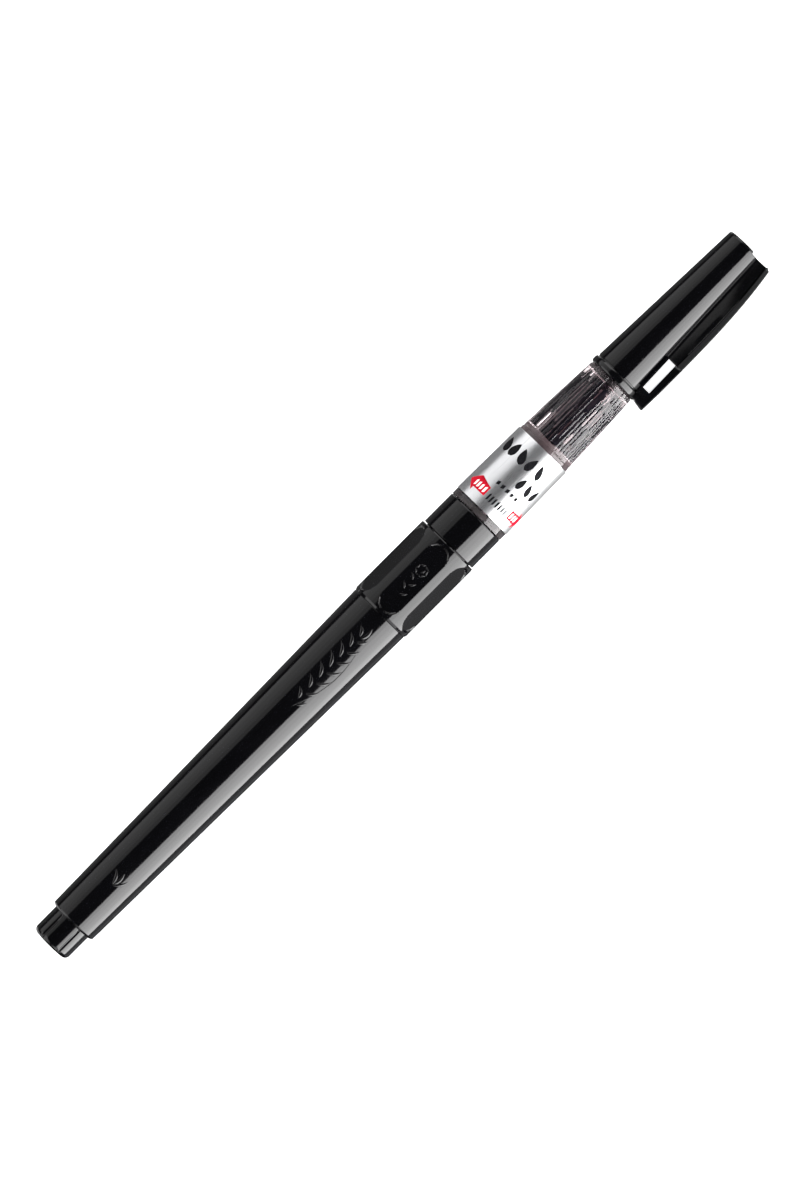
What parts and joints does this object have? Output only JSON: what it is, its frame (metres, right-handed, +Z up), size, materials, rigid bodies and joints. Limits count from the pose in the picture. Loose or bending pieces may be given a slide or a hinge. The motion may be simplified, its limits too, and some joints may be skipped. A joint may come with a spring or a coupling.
{
  "type": "brush pen",
  "caption": "Refillable calligraphy brush pen: tapered barrel with scooped grip, clear ink chamber over a finned feed, foil label and a pull-off cap with a moulded pocket clip.",
  "frame": {"origin": "middle of the bottom of the bounding box, with the pen lying on a surface", "axes": "+X along the pen's axis towards the cap, +Z up; the clip points down and towards -Y"},
  "size_m": [0.175, 0.014, 0.0124],
  "materials": {
    "black_plastic": "polished injection-moulded black plastic with fine handling marks",
    "clear_plastic": "clear moulded plastic with a faint pink cast",
    "label_foil": "bright silver foil, brushed lengthwise, with red and black print",
    "frosted_plastic": "translucent moulded plastic",
    "white_plastic": "soft satin white plastic",
    "ink": "wet black ink",
    "seal_rubber": "matte black rubber",
    "steel": "drawn stainless tube",
    "feed_plastic": "smoky translucent moulded plastic stained by ink",
    "wick_fibre": "bundled fibre soaked with ink",
    "bristle": "fine synthetic bristles darkened with ink"
  },
  "bodies": {
    "front_section": {"clear_housing": "clear_plastic", "label": "label_foil", "spigot_o_ring": "seal_rubber", "inlet_tube": "steel", "feed_collector": "feed_plastic", "feed_wick": "wick_fibre", "chamber_ink": "ink", "brush_holder": "black_plastic", "bristle_binding": "bristle", "brush_tuft": "bristle"},
    "cartridge": {"cartridge": "frosted_plastic", "cartridge_plug": "white_plastic", "ink_charge": "ink"},
    "barrel": {"tail_plug": "black_plastic", "barrel": "black_plastic", "grip_sleeve": "black_plastic", "front_collar": "black_plastic"},
    "cap": {"cap_shell": "black_plastic", "inner_cap": "white_plastic"},
    "clip": {"pocket_clip": "black_plastic"}
  },
  "joints": [
    {"name": "cap_pull", "type": "slide", "parent": "front_section", "child": "cap", "axis": [1, 0, 0], "range_m": [0, 0.035]},
    {"name": "clip_flex", "type": "hinge", "parent": "cap", "child": "clip", "pos_m": [0.0637, -0.0057, 0.00212], "axis": [0, -0.5339, 0.8455], "range_deg": [0, 3], "stiffness_Nm_per_rad": 0.5},
    {"name": "cartridge_draw", "type": "slide", "parent": "front_section", "child": "cartridge", "axis": [-1, 0, 0], "range_m": [0, 0.0061]},
    {"name": "barrel_unscrew", "type": "hinge", "parent": "cartridge", "child": "barrel", "pos_m": [-0.0425, 0.00081, 0.00622], "axis": [-1, 0, 0], "range_deg": [0, 1440]}
  ],
  "couplings": [
    {"joint": "cartridge_draw", "follows": "barrel_unscrew", "m_per_rad": 0.00023873}
  ]
}
